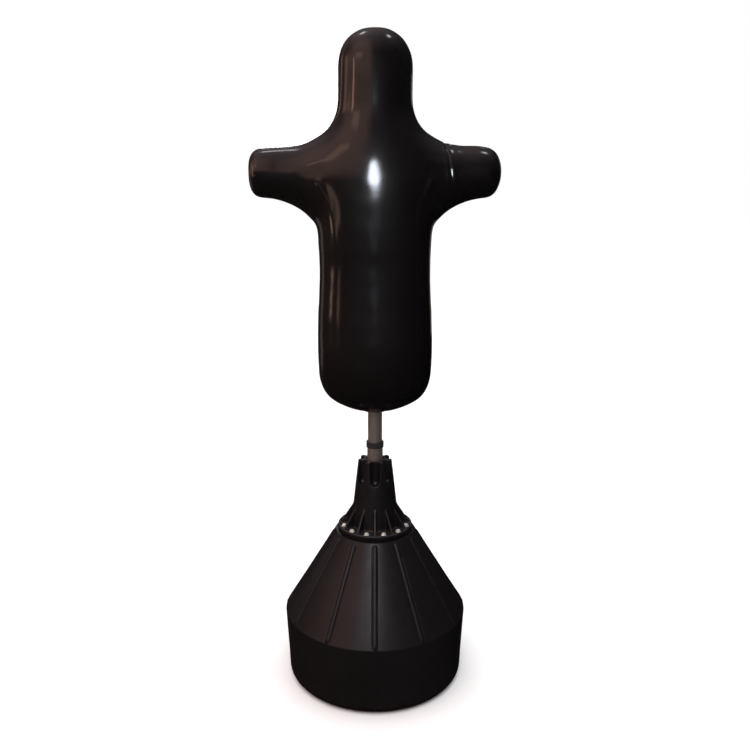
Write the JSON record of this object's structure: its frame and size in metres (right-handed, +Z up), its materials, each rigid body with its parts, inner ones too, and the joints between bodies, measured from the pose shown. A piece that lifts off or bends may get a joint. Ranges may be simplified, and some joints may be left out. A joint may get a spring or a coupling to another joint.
{
  "type": "free-standing body opponent mannequin",
  "caption": "Free-standing torso-shaped striking dummy with a plain head and short arm stubs, on a telescopic pole in a ribbed collar on a fillable conical floor base.",
  "frame": {"origin": "centre of the flat underside of the floor base", "axes": "+Z up along the pole, front of the dummy faces -Y, its left arm points along +X"},
  "size_m": [0.631, 0.5, 1.71],
  "materials": {
    "vinyl_black": "gloss",
    "foam_core": "matte",
    "base_plastic": "satin",
    "collar_plastic": "satin",
    "cap_plastic": "satin",
    "knob_plastic": "satin",
    "nylon_black": "satin",
    "nylon_natural": "satin",
    "seal_rubber": "matte",
    "zinc_steel": "satin",
    "brass_insert": "satin",
    "pole_steel": "satin",
    "core_steel": "satin"
  },
  "bodies": {
    "base": {"base_shell": "base_plastic", "neck_collar": "collar_plastic", "pole_socket": "collar_plastic", "flange_gasket": "seal_rubber", "flange_bolts": "zinc_steel", "flange_washers": "zinc_steel", "tank_inserts": "brass_insert", "socket_pad": "seal_rubber"},
    "lower_pole_body": {"lower_pole": "pole_steel", "lower_pole_plug": "nylon_black", "guide_bush": "nylon_black", "clamp_boss": "pole_steel"},
    "clamp": {"clamp_screw": "zinc_steel", "clamp_tip": "nylon_natural", "clamp_knob": "knob_plastic"},
    "upper_pole_body": {"upper_pole": "pole_steel", "upper_pole_foot": "nylon_black", "upper_pole_cap": "nylon_black"},
    "thrust": {"thrust_disc": "nylon_natural"},
    "dummy": {"dummy_skin": "vinyl_black", "dummy_foam": "foam_core", "core_tube": "core_steel", "core_stop_plate": "core_steel", "anchor_plate_lower": "core_steel", "anchor_plate_upper": "core_steel", "entry_ring": "nylon_black"},
    "cap_seal": {"filler_seal": "seal_rubber"},
    "cap": {"filler_cap": "cap_plastic"}
  },
  "joints": [
    {"name": "pole_lift_out", "type": "slide", "parent": "base", "child": "lower_pole_body", "axis": [0, 0, 1], "range_m": [0, 0.375]},
    {"name": "clamp_knob_turn", "type": "hinge", "parent": "lower_pole_body", "child": "clamp", "pos_m": [0, 0.0465, 0.638], "axis": [0, 1, 0], "range_deg": [0, 720]},
    {"name": "height_adjust", "type": "slide", "parent": "lower_pole_body", "child": "upper_pole_body", "axis": [0, 0, 1], "range_m": [-0.05, 0.15]},
    {"name": "dummy_lift_off", "type": "slide", "parent": "upper_pole_body", "child": "thrust", "axis": [0, 0, 1], "range_m": [0, 0.54]},
    {"name": "dummy_turn", "type": "hinge", "parent": "thrust", "child": "dummy", "pos_m": [0, 0, 1.2842], "axis": [0, 0, 1], "continuous": true},
    {"name": "filler_cap_lift", "type": "slide", "parent": "base", "child": "cap_seal", "axis": [0.2202, 0.8219, 0.5253], "range_m": [0, 0.016]},
    {"name": "filler_cap_turn", "type": "hinge", "parent": "cap_seal", "child": "cap", "pos_m": [0.04106, 0.15322, 0.338], "axis": [0.2202, 0.8219, 0.5253], "range_deg": [0, 1440]}
  ],
  "couplings": [
    {"joint": "filler_cap_turn", "follows": "filler_cap_lift", "rad_per_m": 1570.8}
  ]
}
